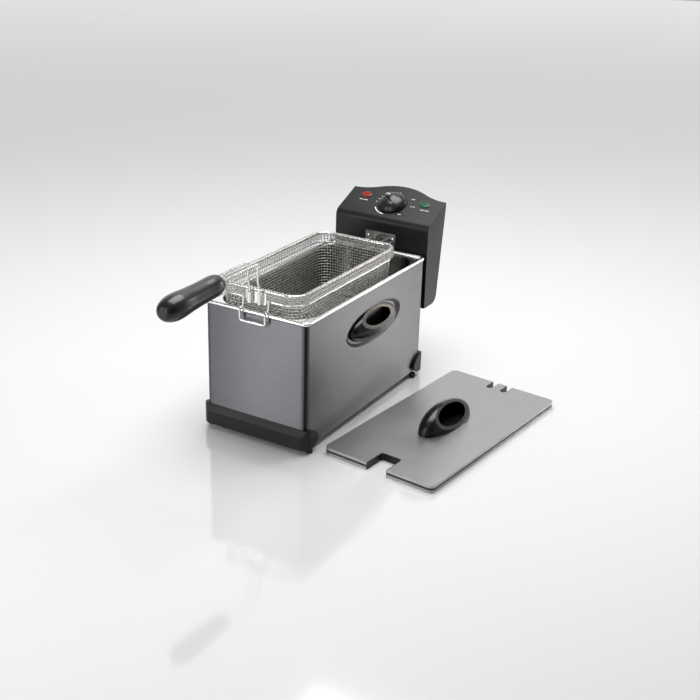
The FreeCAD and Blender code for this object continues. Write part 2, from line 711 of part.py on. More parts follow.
def lamp_block(side, out_from, out_to):
    centre = BEND_LINE + PANEL_UP * LAMP_UP + V(side * LAMP_X, 0, 0)
    halves = (LAMP_LENGTH / 2, LAMP_HEIGHT / 2)
    return ellipse_cone(halves, centre + PANEL_OUT * out_from, halves,
                        centre + PANEL_OUT * out_to, V(1, 0, 0), PANEL_UP)


def head_shell():
    return head_block(0.0).cut(head_block(HEAD_WALL))


def bracket_screw_spots():
    return [-BRACKET_SCREW_X, BRACKET_SCREW_X]


def head_front_shell():
    shell = head_shell().common(head_front_zone())
    pocket_walls = rail_pocket(POCKET_WALL).cut(rail_pocket(0.0))
    throat = box(-RAIL_FLANGE, RAIL_FLANGE, HEAD_FRONT + HEAD_WALL,
                 RAIL_FLANGE_Y + 3 * RAIL_FLANGE_THICK, HEAD_BOTTOM, RAIL_BOTTOM)
    shell = shell.fuse(pocket_walls.common(head_block(HEAD_WALL).fuse(throat)))
    half_neck = RAIL_NECK / 2 + SLIDE_GAP
    shell = shell.cut(box(-half_neck, half_neck, HEAD_FRONT - BEYOND,
                          HEAD_FRONT + HEAD_WALL + BEYOND, HEAD_BOTTOM - BEYOND,
                          RAIL_TOP + POCKET_HEADROOM))
    shell = shell.cut(rail_pocket(0.0))
    half_tab = TAB_WIDTH / 2 + SLIDE_GAP
    shell = shell.cut(box(-half_tab, half_tab, RAIL_FLANGE_Y - SLIDE_GAP,
                          RAIL_FLANGE_Y + RAIL_FLANGE_THICK + SLIDE_GAP, RAIL_TOP,
                          RAIL_TOP + TAB_HEIGHT))
    shell = shell.cut(panel_pin(0, KNOB_UP, SPINDLE_RADIUS + LOOSE, -10, 5))
    near, far = HEAD_FRONT - BEYOND, HEAD_FRONT + 3 * HEAD_WALL
    holes = [(x, BRACKET_SCREW_Z, SCREW_RADIUS) for x in bracket_screw_spots()]
    holes += [(-ELEMENT_X, ELEMENT_EXIT_Z, ELEMENT_RADIUS),
              (ELEMENT_X, ELEMENT_EXIT_Z, ELEMENT_RADIUS), (0, CAPILLARY_Z, CAPILLARY_RADIUS)]
    for x, z, radius in holes:
        shell = shell.cut(rod(V(x, near, z), V(x, far, z), radius))
    for side in (-1, 1):
        shell = shell.cut(lamp_block(side, -10, 5))
    return shell.removeSplitter()


def head_screw_spots():
    return [(side * HEAD_SCREW_X, HEAD_BOTTOM + rise) for rise in HEAD_SCREW_RISES
            for side in (-1, 1)]


def rear_wall_y(x, z, inset):
    """Distance back of the leaning, bulged rear wall at a height, for inset surfaces."""
    half = HEAD_WIDTH / 2 - inset
    corner_z = HEAD_BEND_Z + HEAD_DEPTH_TOP * math.tan(SLOPE)
    radius = (half ** 2 + HEAD_BULGE ** 2) / (4 * HEAD_BULGE)
    side_y = HEAD_FRONT + HEAD_DEPTH_TOP - inset
    from_side = half - abs(x)
    if from_side < half / 2:
        bulge = radius - math.sqrt(radius ** 2 - from_side ** 2)
    else:
        bulge = HEAD_BULGE - radius + math.sqrt(radius ** 2 - x ** 2)
    return side_y + bulge + HEAD_LEAN * (z - corner_z)


def head_rear_cover():
    cover = head_shell().cut(head_front_zone())
    cover = cover.cut(rail_pocket(POCKET_WALL))
    gland_y = rear_wall_y(0, GLAND_Z, 0)
    cover = cover.cut(rod(V(0, gland_y - 12, GLAND_Z), V(0, gland_y + 10, GLAND_Z), GLAND_RADIUS))
    cover = cover.cut(rod(V(0, gland_y - 12, RESET_Z), V(0, gland_y + 20, RESET_Z),
                          RESET_RADIUS + LOOSE))
    for x, z in head_screw_spots():
        y = rear_wall_y(x, z, 0)
        cover = cover.cut(rod(V(x, y - 12, z), V(x, y + 6, z), HEAD_SCREW_RADIUS))
    return cover.removeSplitter()


def head_screws():
    stand_off = 1.05        # keeps a flat screw head clear of the curved wall
    screws = []
    for x, z in head_screw_spots():
        y = rear_wall_y(x, z, 0) + stand_off
        head = rod(V(x, y, z), V(x, y + SCREW_HEAD_HEIGHT, z), 3.0)
        shank = rod(V(x, y - HEAD_SCREW_SHANK, z), V(x, y, z), HEAD_SCREW_RADIUS)
        screws.append(head.fuse(shank).removeSplitter())
    return Part.makeCompound(screws)


def cord_gland():
    y = rear_wall_y(0, GLAND_Z, 0)
    collar = GLAND_RADIUS + GLAND_FLANGE
    seat_y = y + HEAD_LEAN * collar + 0.1
    outer = rod(V(0, seat_y, GLAND_Z), V(0, seat_y + 3, GLAND_Z), collar)
    body = rod(V(0, y - 8, GLAND_Z), V(0, seat_y, GLAND_Z), GLAND_RADIUS)
    bore = rod(V(0, y - 10, GLAND_Z), V(0, y + 6, GLAND_Z), GLAND_BORE)
    return outer.fuse(body).cut(bore).removeSplitter()


def reset_stem_end():
    return rear_wall_y(0, RESET_Z, 0) - 9


def reset_button():
    y = rear_wall_y(0, RESET_Z, 0)
    cap = rod(V(0, y - 4, RESET_Z), V(0, y + RESET_PROUD, RESET_Z), RESET_RADIUS)
    stem = rod(V(0, reset_stem_end(), RESET_Z), V(0, y - 4, RESET_Z), RESET_RADIUS / 2)
    return cap.fuse(stem).removeSplitter()


def thermal_cutout():
    width, depth, height = CUTOUT_SIZE
    back = reset_stem_end() - RESET_TRAVEL - LOOSE
    return box(-width / 2, width / 2, back - depth, back, RESET_Z - height / 2,
               RESET_Z + height / 2)


def lamp_lens(side):
    lens = lamp_block(side, -HEAD_WALL, LAMP_PROUD)
    top = max(lens.Faces, key=lambda f: f.CenterOfMass.dot(PANEL_OUT))
    return lens.makeFillet(LAMP_PROUD * 0.8, top.Edges)


def lamp_holder(side):
    return panel_pin(side * LAMP_X, LAMP_UP, LAMP_HOLDER_RADIUS,
                     -HEAD_WALL - LAMP_HOLDER_DEPTH, -HEAD_WALL)


def thermostat():
    body_top = -9.0
    body = panel_pin(0, KNOB_UP, THERMOSTAT_RADIUS, -26, body_top)
    collar = panel_pin(0, KNOB_UP, THERMOSTAT_COLLAR, body_top, -HEAD_WALL)
    bore = panel_pin(0, KNOB_UP, SPINDLE_RADIUS + RUNNING, -SPINDLE_ROOT - 2, 0)
    return body.fuse(collar).cut(bore).removeSplitter()


def thermostat_spindle():
    return panel_pin(0, KNOB_UP, SPINDLE_RADIUS, -SPINDLE_ROOT, SPINDLE_TIP)


def control_knob():
    """Skirted knob with a raised finger bar, pointer end at KNOB_POINTS_TO degrees."""
    base = KNOB_LIFT
    edge = base + 2
    crown = base + KNOB_SKIRT
    top = base + KNOB_HEIGHT
    edges = [
        Part.makeLine(V(0, 0, base), V(KNOB_RADIUS, 0, base)),
        Part.makeLine(V(KNOB_RADIUS, 0, base), V(KNOB_RADIUS, 0, edge)),
        Part.Arc(V(KNOB_RADIUS, 0, edge), V(KNOB_RADIUS * 0.82, 0, base + KNOB_SKIRT * 0.7),
                 V(0, 0, crown)).toShape(),
        Part.makeLine(V(0, 0, crown), V(0, 0, base)),
    ]
    skirt = Part.Face(Part.Wire(edges)).revolve(V(0, 0, 0), V(0, 0, 1), 360)
    half_bar = KNOB_BAR_WIDTH / 2
    bar = box(-KNOB_RADIUS, KNOB_RADIUS, -half_bar, half_bar, base + 1, top)
    ball = Part.makeSphere(KNOB_RADIUS * 1.35, V(0, 0, top - KNOB_RADIUS * 1.35))
    sleeve = Part.makeCylinder(KNOB_RADIUS - 0.6, KNOB_HEIGHT, V(0, 0, base))
    knob = skirt.fuse(bar.common(ball).common(sleeve)).removeSplitter()
    knob = knob.cut(Part.makeCylinder(SPINDLE_RADIUS, SPINDLE_TIP - base + BEYOND,
                                      V(0, 0, base - BEYOND)))
    return place_on_panel(knob)


def place_on_panel(shape):
    frame = FreeCAD.Rotation(V(1, 0, 0), PANEL_UP, PANEL_OUT, "ZXY")
    spin = FreeCAD.Rotation(V(0, 0, 1), KNOB_POINTS_TO)
    shape.Placement = FreeCAD.Placement(KNOB_CENTRE, frame.multiply(spin))
    return shape


def knob_pointer():
    """Inlaid line on the finger bar's pointing end."""
    top = KNOB_LIFT + KNOB_HEIGHT
    crown_radius = KNOB_RADIUS * 1.35
    strip = box(3, KNOB_RADIUS - 1.2, -POINTER_WIDTH / 2, POINTER_WIDTH / 2, KNOB_LIFT + 4, top + 1)
    outer = Part.makeSphere(crown_radius + 0.3, V(0, 0, top - crown_radius))
    inner = Part.makeSphere(crown_radius, V(0, 0, top - crown_radius))
    return place_on_panel(strip.common(outer).cut(inner))


def microswitch():
    width, depth, height = SWITCH_SIZE
    z = RAIL_TOP + TAB_HEIGHT + SLIDE_GAP
    return box(-width / 2, width / 2, RAIL_FLANGE_Y, RAIL_FLANGE_Y + depth, z, z + height)


def terminal_block():
    width, depth, height = TERMINAL_SIZE
    y = HEAD_FRONT + 16
    x = -BRACKET_SCREW_X - width - 2
    z = RIM_TOP - height
    return box(x, x + width, y, y + depth, z, z + height)


# ---------------------------------------------------------------- heating element
def element_bracket():
    plate = box(-BRACKET_WIDTH / 2, BRACKET_WIDTH / 2, HEAD_FRONT - BRACKET_THICK, HEAD_FRONT,
                BRACKET_BOTTOM, BRACKET_BOTTOM + BRACKET_HEIGHT)
    near, far = HEAD_FRONT - BRACKET_THICK - BEYOND, HEAD_FRONT + BEYOND
    holes = [(x, BRACKET_SCREW_Z, SCREW_RADIUS) for x in bracket_screw_spots()]
    holes += [(-ELEMENT_X, ELEMENT_EXIT_Z, ELEMENT_RADIUS),
              (ELEMENT_X, ELEMENT_EXIT_Z, ELEMENT_RADIUS), (0, CAPILLARY_Z, CAPILLARY_RADIUS)]
    for x, z, radius in holes:
        plate = plate.cut(rod(V(x, near, z), V(x, far, z), radius))
    return plate


def bracket_screws():
    screws = []
    face = HEAD_FRONT - BRACKET_THICK
    z = BRACKET_SCREW_Z
    for x in bracket_screw_spots():
        head = rod(V(x, face, z), V(x, face - BRACKET_SCREW_HEAD, z), SCREW_HEAD_RADIUS)
        rim = [e for e in head.Edges if e.BoundBox.YMax < face - BRACKET_SCREW_HEAD + 0.1]
        head = head.makeFillet(BRACKET_SCREW_HEAD * 0.75, rim)
        shank = rod(V(x, face, z), V(x, face + 8, z), SCREW_RADIUS)
        screws.append(head.fuse(shank).removeSplitter())
    return Part.makeCompound(screws)


def heating_element():
    z = ELEMENT_BOTTOM_Z
    end_y = HEAD_FRONT + 12
    half_path = [
        V(ELEMENT_X, end_y, ELEMENT_EXIT_Z),
        V(ELEMENT_X, ELEMENT_DROP_Y, ELEMENT_EXIT_Z),
        V(ELEMENT_X, ELEMENT_DROP_Y, z),
        V(ELEMENT_X, ELEMENT_LOOP_REAR, z),
        V(ELEMENT_LOOP_X, ELEMENT_LOOP_REAR, z),
        V(ELEMENT_LOOP_X, ELEMENT_LOOP_FRONT, z),
        V(ELEMENT_INNER_X, ELEMENT_LOOP_FRONT, z),
        V(ELEMENT_INNER_X, ELEMENT_RETURN_Y, z),
    ]
    other_half = [V(-p.x, p.y, p.z) for p in reversed(half_path)]
    return bent_rod(half_path + other_half, ELEMENT_RADIUS, ELEMENT_BEND)


def sensor_bulb():
    """Capillary tube from the thermostat down to the bulb beside the element."""
    y = ELEMENT_DROP_Y + 5
    z = ELEMENT_BOTTOM_Z + 13
    lead = bent_rod([V(0, HEAD_FRONT + 9, CAPILLARY_Z), V(0, y, CAPILLARY_Z), V(0, y, z),
                     V(0, BULB_REAR, z)], CAPILLARY_RADIUS, 6.0)
    bulb = rod(V(0, BULB_REAR, z), V(0, BULB_FRONT, z), BULB_RADIUS)
    return lead.fuse(bulb).removeSplitter()


# ---------------------------------------------------------------- basket
def basket_section(z, inset):
    """Rounded rectangle of the tapered basket wall at a height, for loft_block."""
    share = (BASKET_RIM_Z - z) / BASKET_DEPTH
    shrink = inset + BASKET_TAPER * share
    corner = BASKET_CORNER - inset + BASKET_CORNER_SWELL * share
    return (BASKET_WIDTH - 2 * shrink, BASKET_LENGTH - 2 * shrink, corner, z,
            (0, BASKET_MIDDLE_Y))


def basket_rim():
    width, length, corner, z, centre = basket_section(BASKET_RIM_Z, RIM_WIRE_RADIUS)
    return ring_wire(width, length, corner, z, RIM_WIRE_RADIUS, centre)


def basket_mesh():
    top = BASKET_RIM_Z - RIM_WIRE_RADIUS
    inner = MESH_INSET + BASKET_WALL
    outside = loft_block([basket_section(BASKET_BOTTOM, MESH_INSET),
                          basket_section(top, MESH_INSET)])
    inside = loft_block([basket_section(BASKET_BOTTOM + BASKET_WALL, inner),
                         basket_section(top + 0.01, inner)])
    return outside.cut(inside)


def basket_ring(drop):
    z = BASKET_RIM_Z - drop
    width, length, corner, z, centre = basket_section(z, MESH_INSET - RING_WIRE_RADIUS - 0.1)
    return ring_wire(width, length, corner, z, RING_WIRE_RADIUS, centre)


def basket_hook():
    hang_y = BASKET_FRONT - HOOK_WIRE_RADIUS
    over_z = RIM_TOP + HOOK_WIRE_RADIUS + LOOSE
    leg_y = -(BEAD_OUT_Y + HOOK_REACH)
    top = BASKET_RIM_Z - RING_DROP + RING_WIRE_RADIUS
    bottom = RIM_TOP - HOOK_DROP
    points = []
    for side in (-1, 1):
        x = side * HOOK_X
        run = [V(x, hang_y, top), V(x, hang_y, over_z), V(x, leg_y, over_z), V(x, leg_y, bottom)]
        points += run if side < 0 else list(reversed(run))
    return bent_rod(points, HOOK_WIRE_RADIUS, HOOK_BEND)


def handle_sockets():
    """Plate welded to the basket's front with two sleeves for the handle wires."""
    half = SOCKET_PLATE_WIDTH / 2
    shape = box(-half, half, BASKET_FRONT - SOCKET_PLATE, BASKET_FRONT, SOCKET_BOTTOM, SOCKET_TOP)
    for side in (-1, 1):
        x = side * HANDLE_WIRE_X
        shape = shape.fuse(rod(V(x, SOCKET_Y, SOCKET_BOTTOM), V(x, SOCKET_Y, SOCKET_TOP),
                               SOCKET_RADIUS))
    for side in (-1, 1):
        x = side * HANDLE_WIRE_X
        shape = shape.cut(rod(V(x, SOCKET_Y, SOCKET_BOTTOM + SOCKET_FLOOR),
                              V(x, SOCKET_Y, SOCKET_TOP + BEYOND), HANDLE_WIRE_RADIUS + RUNNING))
    return shape.removeSplitter()


# ---------------------------------------------------------------- basket handle
def handle_wire(side):
    x = side * HANDLE_WIRE_X
    points = [
        V(x, GRIP_REAR - GRIP_WIRE_DEPTH, HANDLE_WIRE_Z),
        V(x, HANDLE_LEG_Y, HANDLE_WIRE_Z),
        V(x, HANDLE_LEG_Y, SOCKET_TOP + 17),
        V(x, SOCKET_Y, SOCKET_TOP + 5),
        V(x, SOCKET_Y, SOCKET_BOTTOM + SOCKET_FLOOR + LOOSE),
    ]
    return bent_rod(points, HANDLE_WIRE_RADIUS, HANDLE_WIRE_BEND)


def grip_blank():
    """Swelling, slightly drooping grip lofted through ellipses."""
    half = GRIP_WIDTH / 2
    stations = [(0.0, 0.48), (0.04, 0.74), (0.12, 0.85), (0.30, 0.86), (0.50, 0.90), (0.72, 1.0),
                (0.88, 0.93), (0.96, 0.70), (1.0, 0.36)]
    wires = []
    for share, swell in stations:
        centre = V(0, GRIP_REAR - GRIP_LENGTH * share, GRIP_Z - GRIP_DROOP * share)
        wires.append(ellipse_wire(half * swell, half * swell * 0.96, centre, V(1, 0, 0),
                                  V(0, 0, 1)))
    return Part.makeLoft(wires, True, False)


def grip_half(upper):
    blank = grip_blank()
    far = GRIP_REAR - GRIP_LENGTH - 10
    near = GRIP_REAR + 10
    droop = GRIP_DROOP / GRIP_LENGTH
    reach = 60.0 if upper else -60.0
    outline = [(near, GRIP_Z + 10 * droop), (far, GRIP_Z - (GRIP_LENGTH + 10) * droop),
               (far, GRIP_Z + reach), (near, GRIP_Z + reach)]
    piece = blank.common(prism_x(outline, GRIP_WIDTH))
    if upper:
        for side in (-1, 1):
            x = side * HANDLE_WIRE_X
            piece = piece.cut(rod(V(x, GRIP_REAR + 5, HANDLE_WIRE_Z),
                                  V(x, GRIP_REAR - GRIP_WIRE_DEPTH, HANDLE_WIRE_Z),
                                  HANDLE_WIRE_RADIUS))
    return piece.cut(grip_screw_hole())


def grip_screw_spots():
    """Lowest edge of the grip, the screw head's seat and the screw's tip."""
    y = GRIP_REAR - GRIP_LENGTH * GRIP_SCREW_SHARE
    return V(0, y, GRIP_Z - GRIP_WIDTH), V(0, y, GRIP_Z - 8), V(0, y, GRIP_Z + 5)


def grip_screw_hole():
    below, seat, tip = grip_screw_spots()
    return rod(below, tip, SCREW_RADIUS).fuse(rod(below, seat, SCREW_HEAD_RADIUS))


def grip_screw():
    _, seat, tip = grip_screw_spots()
    head_radius = SCREW_HEAD_RADIUS - 0.2
    head = rod(seat - V(0, 0, SCREW_HEAD_HEIGHT), seat, head_radius)
    return rod(seat, tip, SCREW_RADIUS).fuse(head).removeSplitter()


# ---------------------------------------------------------------- lid
def place_lid(shape):
    shape.Placement = FreeCAD.Placement(V(LID_CORNER_X, LID_CORNER_Y, 0),
                                        FreeCAD.Rotation(V(0, 0, 1), LID_YAW))
    return shape


def lid_block(inset, z0, z1):
    middle = (LID_WIDTH / 2, LID_LENGTH / 2)
    return rounded_block(LID_WIDTH - 2 * inset, LID_LENGTH - 2 * inset,
                         max(LID_CORNER - inset, 1.0), z0, z1, middle)


def notch_block(grow, z0, z1):
    width = NOTCH_WIDTH + 2 * grow
    depth = NOTCH_DEPTH + grow
    overrun = 30.0
    return rounded_block(width, depth + overrun, NOTCH_CORNER + grow, z0, z1,
                         (LID_WIDTH / 2, (depth - overrun) / 2))


def slot_block(side, grow, z0, z1):
    width = SLOT_WIDTH + 2 * grow
    depth = SLOT_LENGTH + grow
    overrun = 20.0
    centre = (LID_WIDTH / 2 + side * ELEMENT_X, LID_LENGTH - (depth - overrun) / 2)
    return rounded_block(width, depth + overrun, width / 2 - 0.01, z0, z1, centre)


def lid_handle_spots():
    reach = LID_HANDLE_LENGTH * LID_SCREW_SHARE
    return [-reach, reach]


def lid_skin():
    skin = lid_block(0, 0, LID_HEIGHT).cut(lid_block(SHEET, -1, LID_HEIGHT - SHEET))
    collars = notch_block(SHEET, 0, LID_HEIGHT)
    holes = notch_block(0, -1, LID_HEIGHT + 1)
    for side in (-1, 1):
        collars = collars.fuse(slot_block(side, SHEET, LID_HEIGHT / 2, LID_HEIGHT))
        holes = holes.fuse(slot_block(side, 0, -1, LID_HEIGHT + 1))
    skin = skin.fuse(collars.common(lid_block(0, 0, LID_HEIGHT))).cut(holes)
    for v in lid_handle_spots():
        spot = V(LID_WIDTH / 2, LID_LENGTH / 2 + v, 0)
        skin = skin.cut(Part.makeCylinder(SCREW_RADIUS, LID_HEIGHT + BEYOND, spot))
    return place_lid(skin.removeSplitter())


def lid_liner():
    """Inner tray under the lid's skin."""
    top = LID_HEIGHT - SHEET
    tray = lid_block(LINER_INSET, LINER_BOTTOM, top)
    tray = tray.cut(lid_block(LINER_INSET + SHEET, LINER_BOTTOM + SHEET, top + BEYOND))
    above = top + BEYOND
    tray = tray.cut(notch_block(SHEET + 1.5, 0, above))
    for side in (-1, 1):
        tray = tray.cut(slot_block(side, SHEET + 1.0, 0, above))
    for v in lid_handle_spots():
        spot = V(LID_WIDTH / 2, LID_LENGTH / 2 + v, 0)
        tray = tray.cut(Part.makeCylinder(SCREW_HEAD_RADIUS + 0.8, above, spot))
    return place_lid(tray.removeSplitter())


def lid_notch_frame():
    """Dark moulded lining of the front notch."""
    high = LID_HEIGHT + BEYOND
    frame = notch_block(0, 0.5, LID_HEIGHT - 0.4).cut(notch_block(-NOTCH_LINING, 0, high))
    return place_lid(frame.common(lid_block(0.3, 0, high)).removeSplitter())


def lid_slot_linings():
    """Dark moulded linings of the two rear slots."""
    high = LID_HEIGHT + BEYOND
    linings = []
    for side in (-1, 1):
        lining = slot_block(side, 0, 0.5, LID_HEIGHT - 0.4)
        lining = lining.cut(slot_block(side, -SLOT_LINING, 0, high))
        linings.append(lining.common(lid_block(0.3, 0, high)).removeSplitter())
    return place_lid(Part.makeCompound(linings))


def lid_handle():
    shape = scoop_handle(LID_HANDLE_LENGTH, LID_HANDLE_WIDTH, LID_HANDLE_HEIGHT)
    for u in lid_handle_spots():
        shape = shape.cut(rod(V(u, 0, -BEYOND), V(u, 0, HANDLE_WALL + BEYOND), SCREW_RADIUS))
    shape.Placement = FreeCAD.Placement(V(LID_WIDTH / 2, LID_LENGTH / 2, LID_HEIGHT),
                                        FreeCAD.Rotation(V(0, 0, 1), -90))
    lid_place = FreeCAD.Placement(V(LID_CORNER_X, LID_CORNER_Y, 0),
                                  FreeCAD.Rotation(V(0, 0, 1), LID_YAW))
    shape.Placement = lid_place.multiply(shape.Placement)
    return shape


def lid_handle_screws():
    screws = []
    for v in lid_handle_spots():
        x, y = LID_WIDTH / 2, LID_LENGTH / 2 + v
        under = LID_HEIGHT - SHEET
        head = Part.makeCylinder(SCREW_HEAD_RADIUS, SCREW_HEAD_HEIGHT,
                                 V(x, y, under - SCREW_HEAD_HEIGHT))
        shank = Part.makeCylinder(SCREW_RADIUS, SHEET + HANDLE_WALL, V(x, y, under))
        screws.append(head.fuse(shank).removeSplitter())
    return place_lid(Part.makeCompound(screws))


# ---------------------------------------------------------------- build
def main():
    save("outer_casing", outer_casing())
    save("bottom_pan", bottom_pan())
    save("front_base_trim", base_trim(-1))
    save("rear_base_trim", base_trim(1))
    for end, end_name in ((-1, "front"), (1, "rear")):
        for side, side_name in ((-1, "left"), (1, "right")):
            save("foot_" + end_name + "_" + side_name, foot(side, end))
    save("base_screws", base_screws())
    save("side_handle_right", side_handle(1))
    save("side_handle_left", side_handle(-1))
    save("side_handle_screws", side_handle_screws())
    save("head_rail", head_rail())
    save("rail_rivets", rail_rivets())
    save("interlock_tab", interlock_tab())
    save("oil_tank", oil_tank())
    save("head_front_shell", head_front_shell())
    save("head_rear_cover", head_rear_cover())
    save("head_screws", head_screws())
    save("cord_gland", cord_gland())
    save("reset_button", reset_button())
    save("thermal_cutout", thermal_cutout())
    save("red_lamp_lens", lamp_lens(-1))
    save("green_lamp_lens", lamp_lens(1))
    save("red_lamp_holder", lamp_holder(-1))
    save("green_lamp_holder", lamp_holder(1))
    save("thermostat", thermostat())
    save("thermostat_spindle", thermostat_spindle())
    save("control_knob", control_knob())
    save("knob_pointer", knob_pointer())
    save("interlock_microswitch", microswitch())
    save("terminal_block", terminal_block())
    save("element_bracket", element_bracket())
    save("bracket_screws", bracket_screws())
    save("heating_element", heating_element())
    save("sensor_bulb", sensor_bulb())
    save("basket_rim", basket_rim())
    save("basket_mesh", basket_mesh())
    save("basket_upper_ring", basket_ring(RING_DROP))
    save("basket_lower_ring", basket_ring(BASKET_DEPTH - LOW_RING_LIFT))
    save("basket_hook", basket_hook())
    save("handle_sockets", handle_sockets())
    save("handle_wire_left", handle_wire(-1))
    save("handle_wire_right", handle_wire(1))
    save("grip_upper", grip_half(True))
    save("grip_lower", grip_half(False))
    save("grip_screw", grip_screw())
    save("lid_skin", lid_skin())
    save("lid_liner", lid_liner())
    save("lid_notch_frame", lid_notch_frame())
    save("lid_slot_linings", lid_slot_linings())
    save("lid_handle", lid_handle())
    save("lid_handle_screws", lid_handle_screws())


main()
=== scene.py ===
import json
import math

import bpy
from mathutils import Matrix, Vector


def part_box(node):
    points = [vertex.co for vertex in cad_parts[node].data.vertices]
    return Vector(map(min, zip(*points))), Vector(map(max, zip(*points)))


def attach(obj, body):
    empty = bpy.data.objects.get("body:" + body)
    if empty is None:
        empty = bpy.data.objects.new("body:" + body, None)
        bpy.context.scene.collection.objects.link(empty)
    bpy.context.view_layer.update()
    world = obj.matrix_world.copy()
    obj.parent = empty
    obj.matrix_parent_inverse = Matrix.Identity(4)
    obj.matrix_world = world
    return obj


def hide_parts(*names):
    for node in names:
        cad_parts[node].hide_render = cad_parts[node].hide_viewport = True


# Deep fryer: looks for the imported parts. Metres, in the part's own frame; MM turns millimetres
# into metres.
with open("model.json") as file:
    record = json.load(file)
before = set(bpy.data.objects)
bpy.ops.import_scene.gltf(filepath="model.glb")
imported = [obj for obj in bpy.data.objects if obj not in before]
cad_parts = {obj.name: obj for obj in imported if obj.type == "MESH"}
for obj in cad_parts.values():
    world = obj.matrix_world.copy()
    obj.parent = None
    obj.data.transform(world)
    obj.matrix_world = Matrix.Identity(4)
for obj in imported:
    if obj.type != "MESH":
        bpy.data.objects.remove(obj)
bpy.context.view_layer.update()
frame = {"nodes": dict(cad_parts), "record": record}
nodes = frame["nodes"]
MM = 0.001

# ---------------------------------------------------------------- camera
CAMERA_PLACE = Vector((0.8123, -1.3225, 0.7391))
CAMERA_AZIMUTH = math.radians(29.97)
CAMERA_ELEVATION = math.radians(23.15)
CAMERA_ROLL = math.radians(1.73)
CAMERA_LENS = 61.1
CAMERA_SENSOR = 36.0

# ---------------------------------------------------------------- sizes that follow the frame
panel_slope = math.radians(23.5)
PANEL_UP = Vector((0, math.cos(panel_slope), math.sin(panel_slope)))
PANEL_OUT = Vector((0, -math.sin(panel_slope), math.cos(panel_slope)))
joints = {joint["name"]: joint for joint in frame["record"]["behaviour"]["joints"]}
KNOB_CENTRE = Vector(joints["knob_turn"]["pos_m"])

# where the painted dark reflection on the casing's rounded corners starts and where it is full,
# across and along
CORNER_REFLECTION_ZONE = ((73.5 * MM, 76.0 * MM), (154.7 * MM, 157.2 * MM))

# painted shadow gap round the lid's edge, heights above the table
LID_SHADE_BAND = (3.2 * MM, 6.6 * MM)
# heights between which the tank's steel turns from painted shade inside to its bright rim
TANK_SHADE_RISE = (0.176, 0.1815)

# width of the small rounding on sharp edges
SOFT_EDGES = {
    "lid_skin": 0.9 * MM, "head_front_shell": 0.8 * MM, "head_rear_cover": 0.8 * MM,
    "front_base_trim": 0.8 * MM, "rear_base_trim": 0.8 * MM, "control_knob": 0.5 * MM,
    "element_bracket": 0.3 * MM, "lid_notch_frame": 0.3 * MM,
}
SOFT_EDGE_ANGLE = math.radians(40)

# woven basket
MESH_PITCH = 4.2 * MM
MESH_WIRE = 0.45 * MM
MESH_INSET = 2.9 * MM       # wall's middle inside the rim's outer edge
RIM_CORNER = 22.0 * MM      # outside corner of the rim in plan
WALL_TAPER = 5.0 * MM
FOLD_DEPTH = 12.0 * MM      # mesh folded over the rim and down outside
FOLD_WIRE = 0.55 * MM
FOLD_STEPS = 6              # points round the rim, and again down the outside
TUBE_SIDES = 5

# printed marks on the panel, round the knob's centre
PRINT_HEIGHT = 0.12 * MM
SCALE_RADIUS = 26.4 * MM
SCALE_ARC = (math.radians(212), math.radians(263))
SCALE_ARC_WIDTH = 1.6 * MM
SCALE_ARC_STEPS = 16
TICK_ANGLES = (90, 109, 127, 141, 153, 167, 182)
TICK_LENGTH = 2.6 * MM
TICK_WIDTH = 1.0 * MM
# across, up the slope, length, in mm
LABELS = ((26.2, 17.7, 6.0), (31.0, 1.0, 3.0), (35.2, 1.0, 3.0), (21.6, -20.6, 5.0),
          (-53.0, -2.2, 6.5), (-45.4, -2.2, 6.5), (50.6, -2.2, 6.5), (58.2, -2.2, 6.5))
LABEL_HEIGHT = 1.1 * MM


# ---------------------------------------------------------------- shader graph helpers
def add(tree, kind, inputs=None, **settings):
    """New shader node; an input is a value or another node's output."""
    node = tree.nodes.new(kind)
    for name, value in settings.items():
        setattr(node, name, value)
    for name, value in (inputs or {}).items():
        if isinstance(value, bpy.types.NodeSocket):
            tree.links.new(value, node.inputs[name])
        else:
            node.inputs[name].default_value = value
    return node


def shader(name, colour, roughness, **sockets):
    """Principled material with plain values; returns the material, its tree and its shader."""
    made = bpy.data.materials.new(name)
    made.use_nodes = True
    tree = made.node_tree
    principled = tree.nodes["Principled BSDF"]
    principled.inputs["Base Color"].default_value = (*colour, 1)
    principled.inputs["Roughness"].default_value = roughness
    for socket, value in sockets.items():
        principled.inputs[socket.replace("_", " ")].default_value = value
    return made, tree, principled


def place_noise(tree, scale, turn=0.0, detail=4.0, rough=0.55):
    """Noise over the part's own frame, stretched by a scale along each axis."""
    coords = add(tree, "ShaderNodeTexCoord")
    mapping = add(tree, "ShaderNodeMapping", {"Vector": coords.outputs["Object"],
                                              "Rotation": (0, 0, turn), "Scale": scale})
    noise = add(tree, "ShaderNodeTexNoise", {"Vector": mapping.outputs["Vector"], "Scale": 1.0,
                                             "Detail": detail, "Roughness": rough})
    return noise.outputs["Fac"]


def spread(tree, value, low, high):
    """A 0..1 noise value stretched to a range."""
    ranged = add(tree, "ShaderNodeMapRange", {"Value": value, "From Min": 0.3, "From Max": 0.7,
                                              "To Min": low, "To Max": high})
    return ranged.outputs["Result"]


def blend_colours(tree, factor, first, second):
    mix = add(tree, "ShaderNodeMix", data_type="RGBA")
    tree.links.new(factor, mix.inputs["Factor"])
    mix.inputs["A"].default_value = (*first, 1)
    mix.inputs["B"].default_value = (*second, 1)
    return mix.outputs["Result"]


def bump(tree, height, strength, distance):
    made = add(tree, "ShaderNodeBump", {"Height": height, "Strength": strength,
                                        "Distance": distance})
    return made.outputs["Normal"]


